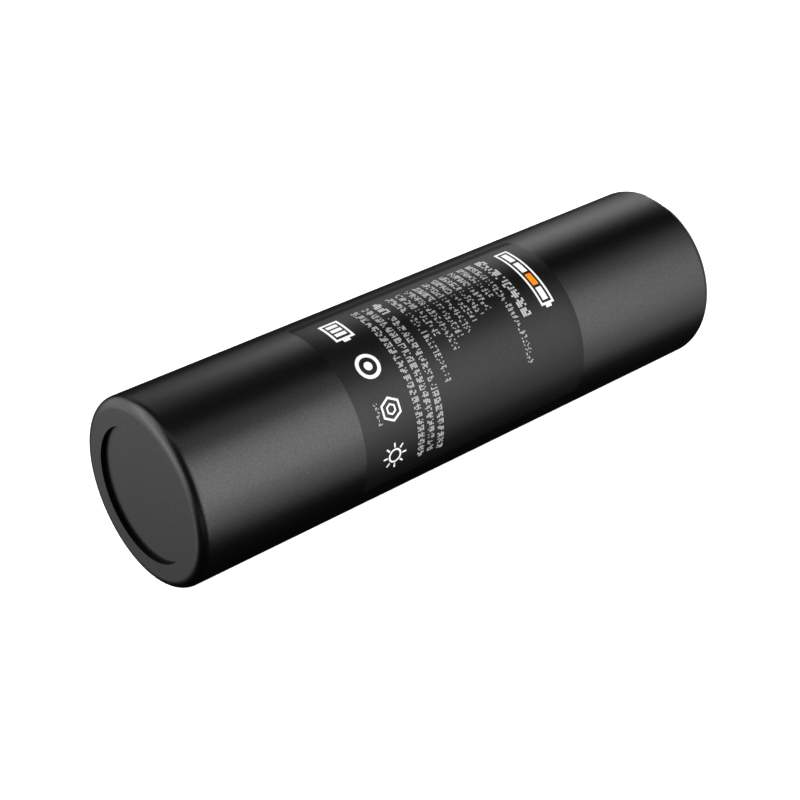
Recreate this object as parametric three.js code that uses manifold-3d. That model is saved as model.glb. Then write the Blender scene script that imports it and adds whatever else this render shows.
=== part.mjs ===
// A rechargeable cylindrical lithium-ion battery: one standard 18 x 65 mm cell with its protection
// board, inside a closed black moulded housing that has both terminals on one end.
//
// Millimetres. Every piece is designed upright, standing on the housing's closed end: local +Z runs
// up the axis from the closed end's face (height 0) to the contact end's face (height LENGTH), and an
// angle round the axis is counted from local +X. The finished battery is then laid down along +X with
// its origin at the middle, so that angle 0 is the top, 90 degrees the front and 180 the underside.

import * as THREE from "three";
import { mergeVertices } from "three/addons/utils/BufferGeometryUtils.js";
import Module from "manifold-3d";

const wasm = await Module();
wasm.setup();

// ---------------------------------------------------------------- driving dimensions

const LENGTH = 74.5;
const HOUSING_RADIUS = 10.5;
const WALL = 1.0;
const CLOSED_END_FILLET = 1.15;
const RECESS_RADIUS = 7.55;
const RECESS_DEPTH = 0.5;
const RECESS_EDGE = 0.05;
const FLOOR = 1.4;

const CELL_LENGTH = 65.1;
const CELL_RADIUS = 9.2;
const BUTTON_RISE = 0.7; // the positive button stands this far above the crimped rim
const SLEEVE = 0.1;
const CAN_WALL = 0.25;
const CAN_FLOOR = 0.3;
const CRIMP_MOUTH = 7.2; // radius left open inside the crimped rim

const GAP = 0.05; // between pieces that rest on or fit in each other
const SKIN_GAP = 0.02; // between a glued skin and what it is glued to
const FOAM = { radius: 8.8, thickness: 0.65 };
const WASHER = 0.2;
const STRIP = 0.15;
const STRIP_WIDTH = 4;
const STRIP_ANGLE = -90; // the negative strip runs up the side of the cell at the back

const CAP_THICKNESS = 1.4;
const CAP_SKIRT = 2.15;
const CONTACT_POCKET = 0.8;
const CONTACT_SET_BACK = 0.2; // the contacts' faces lie this far below the cap's
const RING_CONTACT = { inner: 4.9, outer: 6.9, legAt: 5.9, legRadius: 0.65 };
const POSITIVE_CONTACT = { head: 2.7, shank: 1.5 };
const BOARD = { radius: 8.9, thickness: 0.8 };

const LABEL = { start: 20.8, end: 52.8, fromAngle: -14.5, toAngle: 112.5, thickness: 0.06 };

const SIDES = 32; // flats round every turned piece; all share them, so that thin gaps stay even
const SPIRAL_STEPS = 16; // straight steps in each turn of the windings

// ---------------------------------------------------------------- heights worked out from them

const BORE_RADIUS = HOUSING_RADIUS - WALL;
const FLOOR_INSIDE = RECESS_DEPTH + FLOOR;

const foamTop = FLOOR_INSIDE + GAP + FOAM.thickness;
const stripStart = foamTop + GAP;
const cellStart = stripStart + STRIP + GAP;
const buttonTop = cellStart + CELL_LENGTH;

const canStart = cellStart + SLEEVE + GAP;
const crimpTop = buttonTop - BUTTON_RISE;
const sleeveTop = crimpTop + GAP + SLEEVE;
const washerTop = sleeveTop + GAP + WASHER;

const capUnderside = LENGTH - CAP_THICKNESS;
const boardTop = capUnderside - CAP_SKIRT - GAP;
const boardUnderside = boardTop - BOARD.thickness;
const stripTop = boardUnderside - GAP;
const pocketFloor = LENGTH - CONTACT_POCKET;
const contactFace = LENGTH - CONTACT_SET_BACK;

// ---------------------------------------------------------------- materials

function finish(color, roughness, metalness = 0) {
  return new THREE.MeshStandardMaterial({ color, roughness, metalness });
}

const housingPlastic = finish(0x161616, 0.45);
const labelFilm = finish(0x1f1f20, 0.6);
const goldPlate = finish(0xc9a24b, 0.3, 1);
const boardLaminate = finish(0x17492c, 0.5);
const chipPlastic = finish(0x1c1c1e, 0.6);
const chipCeramic = finish(0x9b8465, 0.5);
const nickel = finish(0xb9b8b2, 0.35, 1);
const canSteel = finish(0xa9aaac, 0.35, 1);
const aluminium = finish(0xcfd0d2, 0.35, 1);
const sleeveFilm = finish(0x2f5f8c, 0.4);
const fibrePaper = finish(0xa7b39b, 0.85);
const foam = finish(0x2b2b2b, 0.95);
const sealNylon = finish(0xdad7cc, 0.6);
const polymerComposite = finish(0x3a3a3c, 0.7);
const cathodeCoat = finish(0x3b3d42, 0.8, 0.2);
const anodeCoat = finish(0x4a3a30, 0.7, 0.4);
const separatorFilm = finish(0xe9e9e6, 0.5);
const tapeFilm = finish(0xb7842c, 0.35);

// ---------------------------------------------------------------- shape helpers

const radians = THREE.MathUtils.degToRad;
const FLAT_TO_CORNER = 1 / Math.cos(Math.PI / SIDES);
const FACET = 360 / SIDES;

// Points of a quarter round from one profile point to another, bulging towards the given corner.
function quarter(from, corner, to, steps = 3) {
  const points = [];
  for (let i = 0; i <= steps; i++) {
    const turn = (i / steps) * (Math.PI / 2);
    const a = 1 - Math.sin(turn);
    const b = 1 - Math.cos(turn);
    points.push([0, 1].map((k) => corner[k] + (from[k] - corner[k]) * a + (to[k] - corner[k]) * b));
  }
  return points;
}

// A turned piece. The profile lists [radius to the flats, height], outside going up and inside coming
// down. It starts and ends on the axis, or it is closed here onto its first point.
function turned(profile) {
  const onAxis = profile[0][0] === 0;
  const closed = onAxis ? profile : [...profile, profile[0]];
  const points = closed.map(([r, h]) => new THREE.Vector2(r * FLAT_TO_CORNER, h));
  return new THREE.LatheGeometry(points, SIDES, Math.PI / SIDES).rotateX(Math.PI / 2);
}

function disc(radius, bottom, top) {
  return turned([[0, bottom], [radius, bottom], [radius, top], [0, top]]);
}

function ring(inner, outer, bottom, top) {
  return turned([[inner, bottom], [outer, bottom], [outer, top], [inner, top]]);
}

// A flat outline of [x, y] points, raised from one height to another.
function raised(outline, bottom, top) {
  const shape = new THREE.Shape(outline.map(([x, y]) => new THREE.Vector2(x, y)));
  const depth = top - bottom;
  return new THREE.ExtrudeGeometry(shape, { depth, bevelEnabled: false }).translate(0, 0, bottom);
}

// Points along the flats of a turned surface, from one angle to another in degrees.
function alongFlats(radius, fromAngle, toAngle) {
  const angles = [fromAngle];
  const firstCorner = Math.ceil(fromAngle / FACET - 0.5) + 0.5;
  for (let corner = firstCorner; corner * FACET < toAngle; corner++) angles.push(corner * FACET);
  angles.push(toAngle);
  return angles.map((angle) => {
    const fromFlat = angle - Math.round(angle / FACET) * FACET;
    const r = radius / Math.cos(radians(fromFlat));
    return [r * Math.cos(radians(angle)), r * Math.sin(radians(angle))];
  });
}

// A sheet bent round the axis: part of a tube's wall.
function bentSheet(inner, outer, fromAngle, toAngle, bottom, top) {
  const outside = alongFlats(outer, fromAngle, toAngle);
  const inside = alongFlats(inner, fromAngle, toAngle).reverse();
  return raised([...outside, ...inside], bottom, top);
}

function block(x0, x1, y0, y1, z0, z1) {
  return new THREE.BoxGeometry(x1 - x0, y1 - y0, z1 - z0).translate(
    (x0 + x1) / 2,
    (y0 + y1) / 2,
    (z0 + z1) / 2,
  );
}

function post(radius, x, y, bottom, top, sides = 12) {
  return new THREE.CylinderGeometry(radius, radius, top - bottom, sides)
    .rotateX(Math.PI / 2)
    .translate(x, y, (bottom + top) / 2);
}

function toSolid(geometry) {
  const bare = geometry.clone();
  bare.deleteAttribute("normal");
  bare.deleteAttribute("uv");
  const merged = mergeVertices(bare, 1e-4);
  const vertProperties = merged.attributes.position.array;
  const triVerts = new Uint32Array(merged.index.array);
  return new wasm.Manifold(new wasm.Mesh({ numProp: 3, vertProperties, triVerts }));
}

function toGeometry(solid) {
  const mesh = solid.getMesh();
  const geometry = new THREE.BufferGeometry();
  geometry.setAttribute("position", new THREE.BufferAttribute(mesh.vertProperties, 3));
  geometry.setIndex(new THREE.BufferAttribute(mesh.triVerts, 1));
  geometry.computeVertexNormals();
  return geometry;
}

function joined(...geometries) {
  return toGeometry(geometries.map(toSolid).reduce((a, b) => a.add(b)));
}

function cut(geometry, ...tools) {
  return toGeometry(tools.map(toSolid).reduce((a, b) => a.subtract(b), toSolid(geometry)));
}

function common(a, b) {
  return toGeometry(toSolid(a).intersect(toSolid(b)));
}

const battery = new THREE.Group();
const housing = new THREE.Group();
const electronics = new THREE.Group();
const cell = new THREE.Group();
battery.add(housing, electronics, cell);

function piece(group, name, geometry, material) {
  const mesh = new THREE.Mesh(geometry, material);
  mesh.name = name;
  group.add(mesh);
}

// ---------------------------------------------------------------- housing

// One moulding: side wall, closed end with its round recess, and a mouth with a rounded lip.
function caseTube() {
  const recess = [
    [0, RECESS_DEPTH],
    [RECESS_RADIUS, RECESS_DEPTH],
    [RECESS_RADIUS, RECESS_EDGE],
    [RECESS_RADIUS + RECESS_EDGE, 0],
  ];
  const closedRim = quarter(
    [HOUSING_RADIUS - CLOSED_END_FILLET, 0],
    [HOUSING_RADIUS, 0],
    [HOUSING_RADIUS, CLOSED_END_FILLET],
  );
  const lip = quarter([HOUSING_RADIUS, LENGTH - WALL], [HOUSING_RADIUS, LENGTH], [BORE_RADIUS, LENGTH]);
  const bore = [
    [BORE_RADIUS, FLOOR_INSIDE],
    [0, FLOOR_INSIDE],
  ];
  return turned([...recess, ...closedRim, ...lip, ...bore]);
}

// The plug that closes the mouth: a pocket for the centre contact, a groove for the ring contact, a
// hole for each contact's leg, and a skirt that holds the board down.
function endCap() {
  const outer = BORE_RADIUS - 0.08;
  const chamfer = 0.15;
  const skirtInner = outer - 0.9;
  const headPocket = POSITIVE_CONTACT.head + 0.1;
  const shankHole = POSITIVE_CONTACT.shank + 0.1;
  const grooveInner = RING_CONTACT.inner - 0.1;
  const grooveOuter = RING_CONTACT.outer + 0.1;
  const body = turned([
    [shankHole, capUnderside],
    [skirtInner, capUnderside],
    [skirtInner, capUnderside - CAP_SKIRT],
    [outer, capUnderside - CAP_SKIRT],
    [outer, LENGTH - chamfer],
    [outer - chamfer, LENGTH],
    [grooveOuter, LENGTH],
    [grooveOuter, pocketFloor],
    [grooveInner, pocketFloor],
    [grooveInner, LENGTH],
    [headPocket, LENGTH],
    [headPocket, pocketFloor],
    [shankHole, pocketFloor],
  ]);
  const legHoles = [-1, 1].map((side) =>
    post(RING_CONTACT.legRadius + 0.15, side * RING_CONTACT.legAt, 0, capUnderside - 1, LENGTH),
  );
  return cut(body, ...legHoles);
}

function positiveContact() {
  const { head, shank } = POSITIVE_CONTACT;
  const headUnderside = pocketFloor + GAP;
  return turned([
    [0, boardTop + GAP],
    [shank, boardTop + GAP],
    [shank, headUnderside],
    [head, headUnderside],
    [head, contactFace - 0.15],
    [head - 0.15, contactFace],
    [0, contactFace],
  ]);
}

function negativeContact() {
  const { inner, outer, legAt, legRadius } = RING_CONTACT;
  const face = ring(inner, outer, pocketFloor + GAP, contactFace);
  const legs = [-1, 1].map((side) =>
    post(legRadius, side * legAt, 0, boardTop + GAP, pocketFloor + 0.3),
  );
  return joined(face, ...legs);
}

function label() {
  const inner = HOUSING_RADIUS + SKIN_GAP;
  const outer = inner + LABEL.thickness;
  return bentSheet(inner, outer, LABEL.fromAngle, LABEL.toAngle, LABEL.start, LABEL.end);
}

piece(housing, "case_tube", caseTube(), housingPlastic);
piece(housing, "end_cap", endCap(), housingPlastic);
piece(housing, "contact_positive", positiveContact(), goldPlate);
piece(housing, "contact_negative", negativeContact(), goldPlate);
piece(housing, "label", label(), labelFilm);
piece(housing, "foam_pad", disc(FOAM.radius, FLOOR_INSIDE + GAP, foamTop), foam);

// ---------------------------------------------------------------- protection electronics

// A surface-mount package: a body and its row of leads on both long sides.
function chip(x, y, length, width, height, leadsPerSide, pitch) {
  const bottom = boardTop + GAP;
  const body = block(
    x - length / 2,
    x + length / 2,
    y - width / 2,
    y + width / 2,
    bottom + 0.1,
    bottom + height,
  );
  const leads = [];
  for (let i = 0; i < leadsPerSide; i++) {
    const at = x + (i - (leadsPerSide - 1) / 2) * pitch;
    const reach = width / 2 + 0.45;
    leads.push(block(at - 0.14, at + 0.14, y - reach, y + reach, bottom, bottom + 0.3));
  }
  return joined(body, ...leads);
}

// A chip resistor or capacitor in the common 1.6 x 0.8 mm size.
function chipPassive(x, y, height) {
  const bottom = boardTop + GAP;
  return block(x - 0.8, x + 0.8, y - 0.4, y + 0.4, bottom, bottom + height);
}

function protectionBoard() {
  const viaRadius = 0.45;
  const vias = [-2.4, 2.4].map((x) => post(viaRadius, x, -7, boardUnderside - 1, boardTop + 1, 10));
  return cut(disc(BOARD.radius, boardUnderside, boardTop), ...vias);
}

// The ring that keeps the board off the cell, open where the negative strip comes up the side.
function boardSpacer() {
  const openHalf = 20;
  const from = STRIP_ANGLE + openHalf;
  const to = STRIP_ANGLE + 360 - openHalf;
  return bentSheet(BORE_RADIUS - 1.2, BORE_RADIUS - 0.1, from, to, washerTop + GAP, stripTop);
}

// Welded across the button, then folded up to the board.
function positiveStrip() {
  const half = STRIP_WIDTH / 2;
  const fold = 4;
  const bottom = buttonTop + GAP;
  const tab = block(-2.6, fold, -half, half, bottom, bottom + STRIP);
  const riser = block(fold - STRIP, fold, -half, half, bottom, stripTop);
  return joined(tab, riser);
}

const strip = { inner: 9.32, outer: 9.44 };

// Welded across the can's bottom, up the side of the cell, and folded in under the board.
function negativeStrip() {
  const half = STRIP_WIDTH / 2;
  const halfAngle = THREE.MathUtils.radToDeg(half / strip.outer);
  const from = STRIP_ANGLE - halfAngle;
  const to = STRIP_ANGLE + halfAngle;
  const riser = bentSheet(strip.inner, strip.outer, from, to, stripStart, stripTop);
  const foot = block(-half, half, -BORE_RADIUS, 2.6, stripStart, stripStart + STRIP);
  const head = block(-half, half, -BORE_RADIUS, -5.5, stripTop - STRIP, stripTop);
  const reach = disc(strip.outer, stripStart, stripTop);
  return joined(riser, common(foot, reach), common(head, reach));
}

// The paper that keeps the live strip off the sleeve and the can's crimped edge.
function stripPaper() {
  const inner = CELL_RADIUS + 0.04;
  const from = STRIP_ANGLE - 16;
  const to = STRIP_ANGLE + 16;
  return bentSheet(inner, inner + 0.05, from, to, cellStart + 0.2, boardUnderside - 1);
}

const passives = [
  { name: "supply_resistor", x: 3.4, y: -4.3, height: 0.45, material: chipPlastic },
  { name: "sense_resistor", x: -3.4, y: -4.3, height: 0.45, material: chipPlastic },
  { name: "filter_capacitor", x: 0, y: -6.6, height: 0.8, material: chipCeramic },
];

piece(electronics, "protection_board", protectionBoard(), boardLaminate);
piece(electronics, "protection_ic", chip(0, -4.3, 2.9, 1.6, 1.1, 3, 0.95), chipPlastic);
piece(electronics, "mosfet_pair", chip(0, 4.6, 4.4, 3.0, 1.0, 4, 1.1), chipPlastic);
for (const { name, x, y, height, material } of passives) {
  piece(electronics, name, chipPassive(x, y, height), material);
}
piece(electronics, "board_spacer", boardSpacer(), sealNylon);
piece(electronics, "button_washer", ring(3.6, 9.1, sleeveTop + GAP, washerTop), fibrePaper);
piece(electronics, "positive_strip", positiveStrip(), nickel);
piece(electronics, "negative_strip", negativeStrip(), nickel);
piece(electronics, "strip_paper", stripPaper(), fibrePaper);

// ---------------------------------------------------------------- the cell's can and its seal

const canOuter = CELL_RADIUS - SLEEVE - GAP;
const canInner = canOuter - CAN_WALL;
const BEAD_BELOW_CRIMP = 3.65;
const BEAD_DEPTH = 0.85;
const canFloor = canStart + CAN_FLOOR;
const beadMiddle = crimpTop - BEAD_BELOW_CRIMP;

// The shrink sleeve, folded a little way over both ends of the can.
function cellSleeve() {
  const inner = CELL_RADIUS - SLEEVE;
  const fold = 0.15;
  const foldedTo = CELL_RADIUS - 1.2;
  const mouth = CRIMP_MOUTH + 0.1;
  return turned([
    [foldedTo, cellStart],
    [CELL_RADIUS - fold, cellStart],
    [CELL_RADIUS, cellStart + fold],
    [CELL_RADIUS, sleeveTop - fold],
    [CELL_RADIUS - fold, sleeveTop],
    [mouth, sleeveTop],
    [mouth, sleeveTop - SLEEVE],
    [inner - fold, sleeveTop - SLEEVE],
    [inner, sleeveTop - SLEEVE - fold],
    [inner, cellStart + SLEEVE + fold],
    [inner - fold, cellStart + SLEEVE],
    [foldedTo, cellStart + SLEEVE],
  ]);
}

// The deep-drawn steel can: a rolled bead holds the seal from below, the crimped rim from above.
function cellCan() {
  const round = 0.3;
  const beadOuter = canOuter - BEAD_DEPTH;
  const beadInner = canInner - BEAD_DEPTH;
  return turned([
    [0, canStart],
    [canOuter - round, canStart],
    [canOuter, canStart + round],
    [canOuter, beadMiddle - 0.8],
    [beadOuter, beadMiddle - 0.3],
    [beadOuter, beadMiddle + 0.3],
    [canOuter, beadMiddle + 0.8],
    [canOuter, crimpTop - round],
    [canOuter - round, crimpTop],
    [CRIMP_MOUTH, crimpTop],
    [CRIMP_MOUTH, crimpTop - CAN_WALL],
    [canInner - 0.15, crimpTop - CAN_WALL],
    [canInner, crimpTop - CAN_WALL - 0.15],
    [canInner, beadMiddle + 0.95],
    [beadInner, beadMiddle + 0.45],
    [beadInner, beadMiddle - 0.45],
    [canInner, beadMiddle - 0.95],
    [canInner, canFloor + 0.15],
    [canInner - 0.15, canFloor],
    [0, canFloor],
  ]);
}

const gasketTop = crimpTop - CAN_WALL - GAP;
const gasketBottom = beadMiddle + 1;
const gasketWall = 0.35;
const GASKET_LIP = 0.3;
const SEAL_SHEET = 0.4; // the vent disc, the current limiter and the top cap are all this thick
const sealRadius = canInner - GAP - gasketWall - GAP;
const discUnderside = gasketBottom + GASKET_LIP + GAP;
const plateTop = discUnderside - 1;

function crimpGasket() {
  const outer = canInner - GAP;
  const wall = outer - gasketWall;
  const mouth = CRIMP_MOUTH + 0.1;
  return turned([
    [CRIMP_MOUTH, gasketBottom],
    [outer, gasketBottom],
    [outer, gasketTop - 0.2],
    [outer - 0.2, gasketTop],
    [mouth, gasketTop],
    [mouth, gasketTop - GASKET_LIP],
    [wall, gasketTop - GASKET_LIP],
    [wall, gasketBottom + GASKET_LIP],
    [CRIMP_MOUTH, gasketBottom + GASKET_LIP],
  ]);
}

// The thin disc that bulges and breaks the circuit, then tears, when the pressure rises too far.
function ventDisc() {
  const sheet = SEAL_SHEET;
  const thinned = 0.3;
  const dish = 0.95;
  return turned([
    [0, discUnderside - dish],
    [4.3, discUnderside - dish],
    [5.6, discUnderside],
    [sealRadius, discUnderside],
    [sealRadius, discUnderside + sheet],
    [5.4, discUnderside + sheet],
    [4.1, discUnderside + thinned - dish],
    [0, discUnderside + thinned - dish],
  ]);
}

const ptcBottom = discUnderside + SEAL_SHEET + GAP;
const capBottom = ptcBottom + SEAL_SHEET + GAP;

// The positive terminal: a flange held in the seal and a raised button with four vent windows.
function topCap() {
  const sheet = SEAL_SHEET;
  const shell = turned([
    [0, buttonTop - sheet],
    [2.9, buttonTop - sheet],
    [3.1, capBottom],
    [sealRadius, capBottom],
    [sealRadius, capBottom + sheet],
    [3.55, capBottom + sheet],
    [3.3, buttonTop - 0.2],
    [3.1, buttonTop],
    [0, buttonTop],
  ]);
  const sill = capBottom + sheet + 0.15;
  const across = block(-5, 5, -0.6, 0.6, sill, sill + 0.6);
  const along = block(-0.6, 0.6, -5, 5, sill, sill + 0.6);
  return cut(shell, across, along);
}

const PLATE = { radius: 6.9, thickness: 0.35, holeRadius: 0.8, holesAt: 4.6 };

// The plate that the positive tab is welded to, with four holes for the gas.
function terminalPlate() {
  const holes = [];
  for (let i = 0; i < 4; i++) {
    const angle = radians(45 + 90 * i);
    const x = PLATE.holesAt * Math.cos(angle);
    const y = PLATE.holesAt * Math.sin(angle);
    holes.push(post(PLATE.holeRadius, x, y, plateTop - 1, plateTop + 1, 10));
  }
  return cut(disc(PLATE.radius, plateTop - PLATE.thickness, plateTop), ...holes);
}

piece(cell, "cell_sleeve", cellSleeve(), sleeveFilm);
piece(cell, "cell_can", cellCan(), canSteel);
piece(cell, "crimp_gasket", crimpGasket(), sealNylon);
piece(cell, "top_cap", topCap(), canSteel);
piece(cell, "ptc_ring", ring(4.6, sealRadius, ptcBottom, capBottom - GAP), polymerComposite);
piece(cell, "vent_disc", ventDisc(), aluminium);
piece(cell, "vent_gasket", ring(5.75, 7.1, plateTop + GAP, discUnderside - GAP), sealNylon);
piece(cell, "terminal_plate", terminalPlate(), aluminium);

// ---------------------------------------------------------------- what is wound inside the can

const CORE_RADIUS = 2.8;
const TURNS = 5.75;
const LAYER_GAP = 0.04;
const COATED_FOIL = 0.26;
const SEPARATOR = 0.08;
const layers = [
  { name: "cathode_winding", thickness: COATED_FOIL, shorterBy: 0.7, material: cathodeCoat },
  { name: "separator_inner", thickness: SEPARATOR, shorterBy: 0, material: separatorFilm },
  { name: "anode_winding", thickness: COATED_FOIL, shorterBy: 0.4, material: anodeCoat },
  { name: "separator_outer", thickness: SEPARATOR, shorterBy: 0, material: separatorFilm },
];
const PITCH = layers.reduce((sum, layer) => sum + layer.thickness + LAYER_GAP, 0);

const TAB_RADIUS = 2.35;
const TAB_WIDTH = 2;
const TAB_LENGTH = 9;
const INSULATOR = { inner: 3, outer: 8.6, thickness: 0.25 };
const lowerInsulatorBottom = canFloor + STRIP + 2 * GAP;
const rollBottom = lowerInsulatorBottom + INSULATOR.thickness + 2 * GAP;
const upperInsulatorBottom = beadMiddle - 1.3;
const rollTop = upperInsulatorBottom - 2 * GAP;

// One layer of the roll: a strip wound outwards from the core.
function winding(startRadius, thickness, bottom, top) {
  const outside = [];
  const inside = [];
  for (let i = 0; i <= TURNS * SPIRAL_STEPS; i++) {
    const angle = (i / SPIRAL_STEPS) * 2 * Math.PI;
    const r = startRadius + (PITCH * i) / SPIRAL_STEPS;
    inside.unshift([r * Math.cos(angle), r * Math.sin(angle)]);
    outside.push([(r + thickness) * Math.cos(angle), (r + thickness) * Math.sin(angle)]);
  }
  return raised([...outside, ...inside], bottom, top);
}

// A tab: a flat foot welded to the terminal, and a leg that lies against the inside of the core.
function tab(side, footBottom, legBottom, legTop) {
  const half = TAB_WIDTH / 2;
  const near = side * TAB_RADIUS;
  const far = side * (TAB_RADIUS + STRIP);
  const leg = block(Math.min(near, far), Math.max(near, far), -half, half, legBottom, legTop);
  const inwards = -side * 1.8;
  const foot = block(
    Math.min(far, inwards),
    Math.max(far, inwards),
    -half,
    half,
    footBottom,
    footBottom + STRIP,
  );
  return joined(leg, foot);
}

let layerRadius = CORE_RADIUS;
for (const { name, thickness, shorterBy, material } of layers) {
  const roll = winding(layerRadius, thickness, rollBottom + shorterBy, rollTop - shorterBy);
  piece(cell, name, roll, material);
  layerRadius += thickness + LAYER_GAP;
}

const tapeRadius = CORE_RADIUS + PITCH * (TURNS + 1) + GAP;
const tapeMiddle = 360 * (TURNS % 1);
const TAPE = { thickness: 0.06, halfAngle: 25, halfLength: 15 };
const rollMiddle = (rollBottom + rollTop) / 2;
const rollTape = bentSheet(
  tapeRadius,
  tapeRadius + TAPE.thickness,
  tapeMiddle - TAPE.halfAngle,
  tapeMiddle + TAPE.halfAngle,
  rollMiddle - TAPE.halfLength,
  rollMiddle + TAPE.halfLength,
);
piece(cell, "roll_tape", rollTape, tapeFilm);

function insulator(bottom) {
  return ring(INSULATOR.inner, INSULATOR.outer, bottom, bottom + INSULATOR.thickness);
}

piece(cell, "lower_insulator", insulator(lowerInsulatorBottom), fibrePaper);
piece(cell, "upper_insulator", insulator(upperInsulatorBottom), fibrePaper);

const negativeFoot = canFloor + GAP;
const positiveFoot = plateTop - PLATE.thickness - GAP - STRIP;
piece(cell, "negative_tab", tab(-1, negativeFoot, negativeFoot, rollBottom + TAB_LENGTH), nickel);
piece(
  cell,
  "positive_tab",
  tab(1, positiveFoot, rollTop - TAB_LENGTH, positiveFoot + STRIP),
  aluminium,
);

// ---------------------------------------------------------------- laid down along +X

// Half a turn about the XZ diagonal takes local +Z to +X, local +X to +Z and local +Y to -Y.
battery.quaternion.setFromAxisAngle(new THREE.Vector3(1, 0, 1).normalize(), Math.PI);
battery.position.x = -LENGTH / 2;

const part = new THREE.Group();
part.name = "battery";
part.add(battery);

export default part;
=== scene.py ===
"""A single-cell lithium-ion battery in a closed black housing, lying on a pale studio table.

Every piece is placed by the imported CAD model. Sizes are in millimetres unless a name says
otherwise. A point on the battery is given by its height along the axis from the closed end's face,
its radius from the axis, and its angle round it in degrees: 0 at the top, 90 at the front and 180
underneath.
"""

import math
import random

import bmesh
import bpy
from mathutils import Matrix, Vector


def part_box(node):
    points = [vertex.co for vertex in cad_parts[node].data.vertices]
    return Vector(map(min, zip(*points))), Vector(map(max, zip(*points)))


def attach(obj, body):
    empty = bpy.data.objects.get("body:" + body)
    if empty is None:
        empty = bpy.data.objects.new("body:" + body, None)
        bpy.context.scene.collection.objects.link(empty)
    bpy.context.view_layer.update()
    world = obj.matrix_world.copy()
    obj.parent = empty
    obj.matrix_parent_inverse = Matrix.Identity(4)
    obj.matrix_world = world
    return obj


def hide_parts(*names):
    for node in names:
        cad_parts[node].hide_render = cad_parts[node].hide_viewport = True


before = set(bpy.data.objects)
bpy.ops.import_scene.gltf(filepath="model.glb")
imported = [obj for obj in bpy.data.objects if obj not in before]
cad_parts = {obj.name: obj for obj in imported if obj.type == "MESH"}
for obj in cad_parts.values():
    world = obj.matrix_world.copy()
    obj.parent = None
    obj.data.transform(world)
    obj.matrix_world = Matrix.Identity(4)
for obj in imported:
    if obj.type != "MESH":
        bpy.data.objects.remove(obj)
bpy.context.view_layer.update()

MM = 0.001
low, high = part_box("case_tube")
END_X = low.x  # the closed end's face, in metres
LENGTH = (high.x - low.x) / MM
RADIUS = (high.z - low.z) / 2 / MM
BODY = "root"

ROUND = 192  # segments round the pieces that show
HIDDEN_ROUND = 96  # segments round the pieces inside


# -------- points, meshes and pieces


def point(height, radius, angle, across=0.0):
    """A point of the battery in the frame, in metres; across steps aside from the radius."""
    turn = math.radians(angle)
    x = radius * math.cos(turn) - across * math.sin(turn)
    y = radius * math.sin(turn) + across * math.cos(turn)
    return place(x, y, height)


def place(x, y, height):
    """A point by its height and its distances from the axis: x to the top and y to the front."""
    return Vector((END_X + height * MM, -y * MM, x * MM))


def extent(node):
    """A CAD node's box in the same terms: x0, x1, y0, y1, bottom, top."""
    lowest, highest = (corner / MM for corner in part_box(node))
    start = END_X / MM
    return lowest.z, highest.z, -highest.y, -lowest.y, lowest.x - start, highest.x - start


def add_mesh(name, vertices, faces, smooth_angle=35):
    """A mesh object from closed skins of faces."""
    mesh = bpy.data.meshes.new(name)
    mesh.from_pydata(vertices, [], faces)
    mesh.validate()
    bm = bmesh.new()
    bm.from_mesh(mesh)
    bmesh.ops.recalc_face_normals(bm, faces=bm.faces)
    return add_object(name, bm, smooth_angle)


def add_object(name, bm, smooth_angle=35):
    """An object of this bmesh, with smooth faces apart from edges sharper than smooth_angle."""
    mesh = bpy.data.meshes.new(name)
    bm.to_mesh(mesh)
    bm.free()
    smooth(mesh, smooth_angle)
    obj = bpy.data.objects.new(name, mesh)
    bpy.context.scene.collection.objects.link(obj)
    return obj


def smooth(mesh, smooth_angle=35):
    mesh.shade_smooth()
    mesh.set_sharp_from_angle(angle=math.radians(smooth_angle))


def finish_piece(obj, material, *replaced, slot=None):
    """Gives a piece its material and its place on the frame.

    The slot argument is not used."""
    slot = slot or material.name.split(".")[0]
    obj.data.materials.append(material)
    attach(obj, BODY)
    if replaced:
        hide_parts(*replaced)
    return obj


# -------- profiles


def arc(centre, radius, start, end, steps=10):
    """Points of an arc in the profile plane; angles in degrees from outwards, turning upwards."""
    points = []
    for i in range(steps + 1):
        turn = math.radians(start + (end - start) * i / steps)
        points.append((centre[0] + radius * math.cos(turn), centre[1] + radius * math.sin(turn)))
    return points


def signed_area(profile):
    pairs = zip(profile, profile[1:] + profile[:1])
    return sum(r0 * h1 - r1 * h0 for (r0, h0), (r1, h1) in pairs) / 2


def softened(profile, radius, steps=4, closed=None):
    """The profile with every corner rounded, by less where an edge is short."""
    if closed is None:
        closed = profile[0][0] > 1e-6
    count = len(profile)
    result = []
    for i, corner in enumerate(profile):
        if not closed and i in (0, count - 1):
            result.append(corner)
            continue
        corner = Vector(corner)
        before = Vector(profile[i - 1]) - corner
        after = Vector(profile[(i + 1) % count]) - corner
        reach = min(radius, 0.45 * before.length, 0.45 * after.length)
        start = corner + before.normalized() * reach
        end = corner + after.normalized() * reach
        for k in range(steps + 1):
            t = k / steps
            at = start * (1 - t) ** 2 + corner * 2 * t * (1 - t) + end * t * t
            result.append((at.x, at.y))
    return result


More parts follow.
